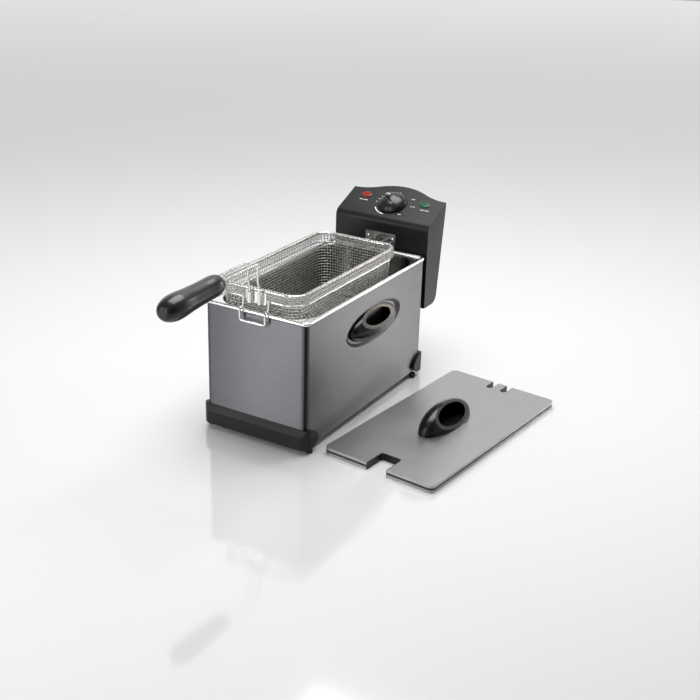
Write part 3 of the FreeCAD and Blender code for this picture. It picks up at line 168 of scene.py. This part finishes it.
# ---------------------------------------------------------------- materials
def brushed_steel(name, dark, light, roughness, grain, turn=0.0, stretch=None):
    """Brushed sheet: fine streaks in colour, roughness and height, with faint handling clouds."""
    made, tree, principled = shader(name, dark, roughness, Metallic=1.0)
    streaks = place_noise(tree, grain, turn, detail=6.0, rough=0.7)
    clouds = place_noise(tree, (9, 9, 9), detail=2.0)
    tint = blend_colours(tree, spread(tree, streaks, 0, 1), dark, light)
    tree.links.new(tint, principled.inputs["Base Color"])
    both = add(tree, "ShaderNodeMath", {0: streaks, 1: clouds}, operation="ADD")
    halved = add(tree, "ShaderNodeMath", {0: both.outputs[0], 1: 0.5}, operation="MULTIPLY")
    rough = spread(tree, halved.outputs[0], roughness * 0.75, roughness * 1.25)
    tree.links.new(rough, principled.inputs["Roughness"])
    tree.links.new(bump(tree, streaks, 0.12, 0.0002), principled.inputs["Normal"])
    if stretch is not None:
        principled.inputs["Anisotropic"].default_value = stretch
        principled.inputs["Anisotropic Rotation"].default_value = 0.25
        tangent = add(tree, "ShaderNodeTangent", direction_type="RADIAL", axis="Z")
        tree.links.new(tangent.outputs["Tangent"], principled.inputs["Tangent"])
    return made


def paint_corner_reflection(made, zone, colour):
    """Painted dark reflection on the rounded upright corners, between two flat faces."""
    tree = made.node_tree
    principled = tree.nodes["Principled BSDF"]
    coords = add(tree, "ShaderNodeTexCoord")
    split = add(tree, "ShaderNodeSeparateXYZ", {"Vector": coords.outputs["Object"]})
    share = None
    for axis, (start, full) in zip(("X", "Y"), zone):
        size = add(tree, "ShaderNodeMath", {0: split.outputs[axis]}, operation="ABSOLUTE")
        part = add(tree, "ShaderNodeMapRange", {"Value": size.outputs[0], "From Min": start,
                                                "From Max": full}).outputs["Result"]
        if share is None:
            share = part
        else:
            share = add(tree, "ShaderNodeMath", {0: share, 1: part},
                        operation="MULTIPLY").outputs[0]
    mix = add(tree, "ShaderNodeMix", {"Factor": share}, data_type="RGBA")
    tree.links.new(principled.inputs["Base Color"].links[0].from_socket, mix.inputs["A"])
    mix.inputs["B"].default_value = (*colour, 1)
    tree.links.new(mix.outputs["Result"], principled.inputs["Base Color"])


def paint_lid_edge_shade(made, band, colour):
    """Painted shadow gap round the folded edge of the lid, between two bright lips."""
    tree = made.node_tree
    principled = tree.nodes["Principled BSDF"]
    coords = add(tree, "ShaderNodeTexCoord")
    split = add(tree, "ShaderNodeSeparateXYZ", {"Vector": coords.outputs["Object"]})
    above = add(tree, "ShaderNodeMath", {0: split.outputs["Z"], 1: band[0]},
                operation="GREATER_THAN")
    below = add(tree, "ShaderNodeMath", {0: split.outputs["Z"], 1: band[1]},
                operation="LESS_THAN")
    inside = add(tree, "ShaderNodeMath", {0: above.outputs[0], 1: below.outputs[0]},
                 operation="MULTIPLY")
    mix = add(tree, "ShaderNodeMix", {"Factor": inside.outputs[0]}, data_type="RGBA")
    tree.links.new(principled.inputs["Base Color"].links[0].from_socket, mix.inputs["A"])
    mix.inputs["B"].default_value = (*colour, 1)
    tree.links.new(mix.outputs["Result"], principled.inputs["Base Color"])


def tank_with_painted_shade(name, inside, rim, roughness):
    """Drawn steel with painted shade inside below the opening, bright on its rolled rim."""
    made, tree, principled = shader(name, rim, roughness, Metallic=1.0)
    coords = add(tree, "ShaderNodeTexCoord")
    split = add(tree, "ShaderNodeSeparateXYZ", {"Vector": coords.outputs["Object"]})
    low, high = TANK_SHADE_RISE
    rise = add(tree, "ShaderNodeMapRange", {"Value": split.outputs["Z"], "From Min": low,
                                            "From Max": high})
    tint = blend_colours(tree, rise.outputs["Result"], inside, rim)
    tree.links.new(tint, principled.inputs["Base Color"])
    clouds = place_noise(tree, (40, 40, 40), detail=4.0)
    tree.links.new(spread(tree, clouds, roughness * 0.7, roughness * 1.5),
                   principled.inputs["Roughness"])
    return made


def bright_wire(name, colour, roughness):
    """Chromed wire with small dull spots."""
    made, tree, principled = shader(name, colour, roughness, Metallic=1.0)
    spots = place_noise(tree, (400, 400, 400), detail=3.0)
    tree.links.new(spread(tree, spots, roughness * 0.6, roughness * 1.6),
                   principled.inputs["Roughness"])
    return made


def moulded(name, colour, roughness, grain_size, grain_depth, coat=0.0, level=0.5):
    """Moulded plastic with a fine surface grain and slightly uneven gloss."""
    made, tree, principled = shader(name, colour, roughness, Specular_IOR_Level=level,
                                    Coat_Weight=coat, Coat_Roughness=0.08)
    scale = 1 / grain_size
    grain = place_noise(tree, (scale, scale, scale), detail=2.0, rough=0.5)
    clouds = place_noise(tree, (14, 14, 14), detail=3.0)
    tree.links.new(spread(tree, clouds, roughness * 0.85, roughness * 1.15),
                   principled.inputs["Roughness"])
    lighter = tuple(min(c * 1.25 + 0.002, 1) for c in colour)
    tree.links.new(blend_colours(tree, spread(tree, clouds, 0, 1), colour, lighter),
                   principled.inputs["Base Color"])
    tree.links.new(bump(tree, grain, 0.5, grain_depth), principled.inputs["Normal"])
    return made


def lamp_plastic(name, colour, glow):
    """Tinted clear lens with the ribbed reflector showing through."""
    made, tree, principled = shader(name, colour, 0.12, Coat_Weight=0.6, Coat_Roughness=0.04,
                                    Transmission_Weight=0.25, Emission_Strength=glow)
    coords = add(tree, "ShaderNodeTexCoord")
    ribs = add(tree, "ShaderNodeTexWave", {"Vector": coords.outputs["Object"], "Scale": 130.0,
                                           "Distortion": 3.0, "Detail": 1.0})
    deep = tuple(c * 0.35 for c in colour)
    tint = blend_colours(tree, ribs.outputs["Fac"], deep, colour)
    tree.links.new(tint, principled.inputs["Base Color"])
    tree.links.new(tint, principled.inputs["Emission Color"])
    return made


CASING = brushed_steel("casing_steel", (0.122, 0.123, 0.131), (0.152, 0.153, 0.162), 0.32,
                       (10, 10, 2200), stretch=0.9)
# painted dark reflection on the casing's rounded corners, laid into the base colour
paint_corner_reflection(CASING, CORNER_REFLECTION_ZONE, (0.02, 0.02, 0.022))
LID = brushed_steel("lid_steel", (0.34, 0.34, 0.35), (0.45, 0.45, 0.46), 0.33,
                    (2600, 14, 14), turn=math.radians(5.9))
# painted shadow gap round the lid's folded edge, laid into the base colour
paint_lid_edge_shade(LID, LID_SHADE_BAND, (0.06, 0.06, 0.065))
# painted shade inside the tank below the opening, bright steel at the rim
TANK = tank_with_painted_shade("tank_steel", (0.30, 0.295, 0.28), (0.86, 0.86, 0.85), 0.16)
PAN = brushed_steel("pan_steel", (0.20, 0.20, 0.20), (0.32, 0.32, 0.32), 0.4, (60, 60, 60))
BRACKET = brushed_steel("bracket_steel", (0.55, 0.55, 0.54), (0.75, 0.74, 0.72), 0.25,
                        (40, 600, 600))
SCREW = bright_wire("screw_steel", (0.62, 0.61, 0.59), 0.25)
CHROME = bright_wire("basket_chrome", (0.82, 0.81, 0.79), 0.16)
MESH_CHROME = bright_wire("mesh_chrome", (0.66, 0.65, 0.63), 0.28)
ELEMENT = bright_wire("element_steel", (0.20, 0.19, 0.18), 0.35)
BRASS = bright_wire("brass", (0.62, 0.42, 0.16), 0.3)
HEAD = moulded("head_black", (0.006, 0.0062, 0.0075), 0.38, 0.0005, 0.00006, level=0.32)
TRIM = moulded("trim_black", (0.005, 0.0055, 0.0065), 0.40, 0.0005, 0.00005, level=0.3)
GRIP = moulded("grip_black", (0.004, 0.004, 0.005), 0.30, 0.004, 0.00008, coat=0.25, level=0.35)
HANDLE = moulded("handle_black", (0.005, 0.0052, 0.006), 0.26, 0.004, 0.00006, coat=0.2,
                 level=0.35)
KNOB = moulded("knob_black", (0.009, 0.0095, 0.012), 0.30, 0.003, 0.00004, coat=0.2,
               level=0.4)
RUBBER = moulded("foot_rubber", (0.012, 0.012, 0.012), 0.7, 0.0008, 0.0001)
INNER = moulded("inner_plastic", (0.05, 0.05, 0.05), 0.5, 0.001, 0.00005)
RAIL = moulded("rail_plastic", (0.012, 0.012, 0.013), 0.45, 0.0006, 0.00005)
BUTTON = moulded("button_red", (0.38, 0.03, 0.02), 0.35, 0.001, 0.00003)
PRINT = moulded("mark_white", (0.60, 0.61, 0.62), 0.5, 0.0004, 0.00001)
RED = lamp_plastic("lamp_red", (0.42, 0.03, 0.012), 0.06)
GREEN = lamp_plastic("lamp_green", (0.003, 0.15, 0.06), 0.05)

FINISHES = {
    "casing_steel": CASING, "pan_steel": PAN, "trim_black": TRIM, "foot_rubber": RUBBER,
    "handle_black": HANDLE, "screw_steel": SCREW, "rail_plastic": RAIL, "tank_steel": TANK,
    "head_black": HEAD, "lamp_red": RED, "lamp_green": GREEN, "inner_plastic": INNER,
    "knob_black": KNOB, "mark_white": PRINT, "brass": BRASS, "element_steel": ELEMENT,
    "bracket_steel": BRACKET, "basket_chrome": CHROME, "grip_black": GRIP, "lid_steel": LID,
    "button_red": BUTTON,
}


def dress_cad_nodes():
    """Each CAD node takes the finish of its own slot in the record."""
    for part in frame["record"]["subparts"]:
        mesh = nodes[part["node"]].data
        mesh.materials.clear()
        mesh.materials.append(FINISHES[part["material_slot"]])


def soften(node, width):
    """Small rounding of a node's sharp edges, so that they catch light."""
    edge = nodes[node].modifiers.new("soft_edges", "BEVEL")
    edge.width = width
    edge.segments = 2
    edge.limit_method = "ANGLE"
    edge.angle_limit = SOFT_EDGE_ANGLE


def new_piece(name, points, faces, material, body, smooth):
    mesh = bpy.data.meshes.new(name)
    mesh.from_pydata(points, [], faces)
    mesh.polygons.foreach_set("use_smooth", [smooth] * len(mesh.polygons))
    mesh.materials.append(material)
    made = bpy.data.objects.new(name, mesh)
    bpy.context.scene.collection.objects.link(made)
    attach(made, body)
    return made


# ---------------------------------------------------------------- woven basket
def add_tube(mesh, path, radius, closed=False):
    """Round wire along a path, added to a (points, faces) pair."""
    points, faces = mesh
    count = len(path)
    first = len(points)
    side = None
    for i, place in enumerate(path):
        before = path[i - 1] if closed or i else place
        after = path[(i + 1) % count] if closed or i + 1 < count else place
        along = (after - before).normalized()
        if side is None:
            side = along.orthogonal().normalized()
        side = (side - along * side.dot(along)).normalized()
        other = along.cross(side)
        for k in range(TUBE_SIDES):
            turn = 2 * math.pi * k / TUBE_SIDES
            points.append(place + (side * math.cos(turn) + other * math.sin(turn)) * radius)
    for i in range(count if closed else count - 1):
        near, far = first + i * TUBE_SIDES, first + (i + 1) % count * TUBE_SIDES
        for k in range(TUBE_SIDES):
            nxt = (k + 1) % TUBE_SIDES
            faces.append((near + k, near + nxt, far + nxt, far + k))


def basket_frame():
    """Middle, half sizes at the rim and heights of the woven wall."""
    rim_low, rim_high = (Vector(end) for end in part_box("basket_rim"))
    floor_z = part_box("basket_mesh")[0][2] + MESH_WIRE * 2
    middle = (rim_low + rim_high) / 2
    return middle, (rim_high - rim_low) / 2, floor_z


def plan_walk(half_x, half_y, corner, counts):
    """Points round a rounded rectangle with their outward directions."""
    along_x, along_y, turn_count = counts
    flat_x, flat_y = half_x - corner, half_y - corner
    walk = []
    for quarter in range(4):
        across = quarter % 2 == 0
        flat, reach = (flat_x, half_y) if across else (flat_y, half_x)
        number = along_x if across else along_y
        out = Vector((0, -1, 0)) if across else Vector((1, 0, 0))
        sign = 1 if quarter < 2 else -1
        out = out * sign
        way = Vector((-out.y, out.x, 0))
        for i in range(number):
            walk.append((out * reach + way * flat * (2 * i / number - 1), out))
        centre = out * (flat_y if across else flat_x) + way * flat
        for i in range(turn_count):
            angle = math.pi / 2 * i / turn_count
            normal = out * math.cos(angle) + way * math.sin(angle)
            walk.append((centre + normal * corner, normal))
    return walk


def weave_counts(half_x, half_y, corner):
    along_x = round(2 * (half_x - corner) / MESH_PITCH)
    along_y = round(2 * (half_y - corner) / MESH_PITCH)
    turn_count = round(math.pi / 2 * corner / MESH_PITCH)
    return along_x, along_y, turn_count


def woven_wall(mesh, middle, half, floor_z):
    """Upright wires weaving through level rings from the rim down to the floor."""
    corner = RIM_CORNER - MESH_INSET
    half_x, half_y = half.x - MESH_INSET, half.y - MESH_INSET
    counts = weave_counts(half_x, half_y, corner)
    depth = middle.z - floor_z
    rows = round(depth / MESH_PITCH)
    levels = []
    for row in range(2 * rows + 1):
        share = row / (2 * rows)
        shrink = WALL_TAPER * share
        walk = plan_walk(half_x - shrink, half_y - shrink, corner, counts)
        z = middle.z - depth * share
        levels.append([(Vector((middle.x + p.x, middle.y + p.y, z)), n) for p, n in walk])
    total = len(levels[0])
    for i in range(total):
        path = []
        for row, level in enumerate(levels):
            place, out = level[i]
            wave = 0 if row % 2 else (-1) ** (i + row // 2)
            path.append(place + out * MESH_WIRE * wave)
        add_tube(mesh, path, MESH_WIRE)
    for row in range(1, rows):
        path = []
        for i in range(total):
            place, out = levels[2 * row][i]
            after = levels[2 * row][(i + 1) % total][0]
            path.append(place - out * MESH_WIRE * (-1) ** (i + row))
            path.append((place + after) / 2)
        add_tube(mesh, path, MESH_WIRE, closed=True)


def woven_floor(mesh, middle, half, floor_z):
    """Two crossed families of wires filling the rounded floor."""
    corner = RIM_CORNER - MESH_INSET
    sizes = (half.x - MESH_INSET - WALL_TAPER, half.y - MESH_INSET - WALL_TAPER)
    for family, (reach, far) in enumerate((sizes, sizes[::-1])):
        number = round(2 * far / MESH_PITCH)
        for i in range(1, number):
            aside = far * (2 * i / number - 1)
            over = max(abs(aside) - (far - corner), 0)
            end = reach - corner + math.sqrt(corner ** 2 - over ** 2)
            steps = max(2, round(2 * end / MESH_PITCH) * 2)
            path = []
            for k in range(steps + 1):
                along = end * (2 * k / steps - 1)
                wave = 0 if k % 2 else (-1) ** (i + k // 2 + family)
                x, y = (along, aside) if family == 0 else (aside, along)
                path.append(Vector((middle.x + x, middle.y + y, floor_z + MESH_WIRE * wave)))
            add_tube(mesh, path, MESH_WIRE)


def folded_edge(mesh, middle, half):
    """The mesh's edge wrapped over the rim wire and laid down outside to the upper ring."""
    rim_radius = half.z
    corner = RIM_CORNER - rim_radius
    half_x, half_y = half.x - rim_radius, half.y - rim_radius
    counts = weave_counts(half_x, half_y, corner)
    walk = plan_walk(half_x, half_y, corner, counts)
    wrap = rim_radius + FOLD_WIRE
    for i, (place, out) in enumerate(walk):
        centre = Vector((middle.x + place.x, middle.y + place.y, middle.z))
        path = []
        for k in range(FOLD_STEPS + 1):
            angle = math.pi * (1 - k / FOLD_STEPS)
            path.append(centre + (out * math.cos(angle) + Vector((0, 0, 1)) * math.sin(angle))
                        * wrap)
        for k in range(1, FOLD_STEPS + 1):
            share = k / FOLD_STEPS
            wave = (-1) ** (i + k) * MESH_WIRE * (share < 1)
            path.append(centre + out * (wrap - WALL_TAPER * 0.1 * share + wave)
                        - Vector((0, 0, FOLD_DEPTH * share)))
        add_tube(mesh, path, FOLD_WIRE)
    for row in (1, 2):
        path = []
        for i, (place, out) in enumerate(walk):
            level = Vector((middle.x + place.x, middle.y + place.y, middle.z - MESH_PITCH * row))
            path.append(level + out * (wrap - (-1) ** (i + row) * MESH_WIRE))
        add_tube(mesh, path, MESH_WIRE, closed=True)


def woven_basket():
    middle, half, floor_z = basket_frame()
    mesh = ([], [])
    woven_wall(mesh, middle, half, floor_z)
    woven_floor(mesh, middle, half, floor_z)
    piece = new_piece("woven_wires", *mesh, MESH_CHROME, "basket", True)
    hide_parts("basket_mesh")
    fold = ([], [])
    folded_edge(fold, middle, half)
    wraps = new_piece("folded_mesh_edge", *fold, MESH_CHROME, "basket", True)


# ---------------------------------------------------------------- printed marks
def on_panel(across, up):
    return KNOB_CENTRE + Vector((across, 0, 0)) + PANEL_UP * up


def add_strip(mesh, outline):
    """Flat printed shape, a thin raised plate over a run of inner and outer edge points."""
    points, faces = mesh
    first = len(points)
    for inner, outer in outline:
        for edge in (inner, outer):
            points.append(edge - PANEL_OUT * PRINT_HEIGHT)
            points.append(edge + PANEL_OUT * PRINT_HEIGHT)
    for i in range(len(outline) - 1):
        a, b = first + 4 * i, first + 4 * (i + 1)
        faces += [(a + 1, a + 3, b + 3, b + 1), (a, b, b + 2, a + 2),
                  (a, a + 1, b + 1, b), (a + 2, b + 2, b + 3, a + 3)]
    last = first + 4 * (len(outline) - 1)
    faces += [(first, first + 2, first + 3, first + 1), (last, last + 1, last + 3, last + 2)]


def ring_edge(angle, radius):
    return on_panel(radius * math.cos(angle), radius * math.sin(angle))


def panel_marks():
    mesh = ([], [])
    start, stop = SCALE_ARC
    half = SCALE_ARC_WIDTH / 2
    turns = [start + (stop - start) * i / SCALE_ARC_STEPS for i in range(SCALE_ARC_STEPS + 1)]
    add_strip(mesh, [(ring_edge(t, SCALE_RADIUS - half), ring_edge(t, SCALE_RADIUS + half))
                     for t in turns])
    for degrees in TICK_ANGLES:
        angle = math.radians(degrees)
        aside = TICK_WIDTH / 2 / SCALE_RADIUS
        low, high = SCALE_RADIUS - TICK_LENGTH / 2, SCALE_RADIUS + TICK_LENGTH / 2
        add_strip(mesh, [(ring_edge(angle - aside, low), ring_edge(angle - aside, high)),
                         (ring_edge(angle + aside, low), ring_edge(angle + aside, high))])
    for across, up, length in LABELS:
        x, y, reach = across * MM, up * MM, length * MM / 2
        add_strip(mesh, [(on_panel(x - reach, y - LABEL_HEIGHT / 2),
                          on_panel(x - reach, y + LABEL_HEIGHT / 2)),
                         (on_panel(x + reach, y - LABEL_HEIGHT / 2),
                          on_panel(x + reach, y + LABEL_HEIGHT / 2))])
    piece = new_piece("panel_marks", *mesh, PRINT, "control_head", False)


dress_cad_nodes()
for node_name, edge_width in SOFT_EDGES.items():
    soften(node_name, edge_width)
woven_basket()
panel_marks()


# ---------------------------------------------------------------- studio
def make_camera():
    flat = math.cos(CAMERA_ELEVATION)
    back = Vector((math.sin(CAMERA_AZIMUTH) * flat, -math.cos(CAMERA_AZIMUTH) * flat,
                   math.sin(CAMERA_ELEVATION)))
    right = (-back).cross(Vector((0, 0, 1))).normalized()
    up = right.cross(-back)
    turn = Matrix.Rotation(CAMERA_ROLL, 3, back)
    axes = (turn @ right, turn @ up, back)
    camera = bpy.data.objects.new("camera", bpy.data.cameras.new("camera"))
    camera.data.lens = CAMERA_LENS
    camera.data.sensor_width = CAMERA_SENSOR
    camera.matrix_world = Matrix.Translation(CAMERA_PLACE) @ Matrix(axes).transposed().to_4x4()
    bpy.context.scene.collection.objects.link(camera)
    bpy.context.scene.camera = camera


def aim(thing, place, target):
    thing.location = place
    thing.rotation_euler = (Vector(target) - Vector(place)).to_track_quat("-Z", "Y").to_euler()


def softbox(name, place, target, width, height, power, tint=(1, 1, 1)):
    light = bpy.data.lights.new(name, "AREA")
    light.shape = "RECTANGLE"
    light.size, light.size_y = width, height
    light.energy = power
    light.color = tint
    made = bpy.data.objects.new(name, light)
    made.visible_camera = False
    bpy.context.scene.collection.objects.link(made)
    aim(made, place, target)
    return made


def plane(name, width, depth, material):
    mesh = bpy.data.meshes.new(name)
    x, y = width / 2, depth / 2
    mesh.from_pydata([(-x, -y, 0), (x, -y, 0), (x, y, 0), (-x, y, 0)], [], [(0, 1, 2, 3)])
    mesh.materials.append(material)
    made = bpy.data.objects.new(name, mesh)
    bpy.context.scene.collection.objects.link(made)
    return made


def make_studio():
    gloss, _, _ = shader("floor_gloss", (0.72, 0.72, 0.73), 0.09, IOR=2.1)
    plane("floor", 12, 12, gloss)
    flag, _, _ = shader("flag_black", (0.01, 0.01, 0.01), 0.9)
    card = plane("dark_flag", 0.7, 1.2, flag)
    card.visible_camera = False
    aim(card, (0.95, -0.55, 0.6), (0.05, -0.1, 0.1))
    softbox("top_light", (0.05, 0.22, 1.25), (0.05, 0, 0), 0.9, 0.9, 17)
    softbox("front_strip", (-0.68, -1.3, 0.45), (0, -0.1, 0.1), 0.15, 0.9, 3.6)
    softbox("left_strip", (0.05, -1.3, 0.55), (0, 0, 0.1), 0.30, 1.0, 3)
    softbox("right_strip", (1.2, 1.68, 0.5), (0, 0, 0.1), 0.25, 1.0, 5.5)
    softbox("rear_strip", (1.2, 2.32, 0.9), (0, 0, 0.1), 0.10, 1.0, 4, (1, 0.88, 0.75))
    softbox("back_glow", (-2.6, 4.4, 2.5), (0, 0, 2.5), 10, 5, 115)
    side_light = softbox("side_light", (-1.4, -0.5, 0.7), (0, 0, 0.1), 0.8, 0.8, 3)
    side_light.visible_glossy = False
    world = bpy.data.worlds.new("studio")
    world.use_nodes = True
    world.node_tree.nodes["Background"].inputs["Color"].default_value = (1, 1, 1, 1)
    world.node_tree.nodes["Background"].inputs["Strength"].default_value = 0.30
    bpy.context.scene.world = world
    bpy.context.scene.view_settings.view_transform = "Standard"


make_camera()
make_studio()
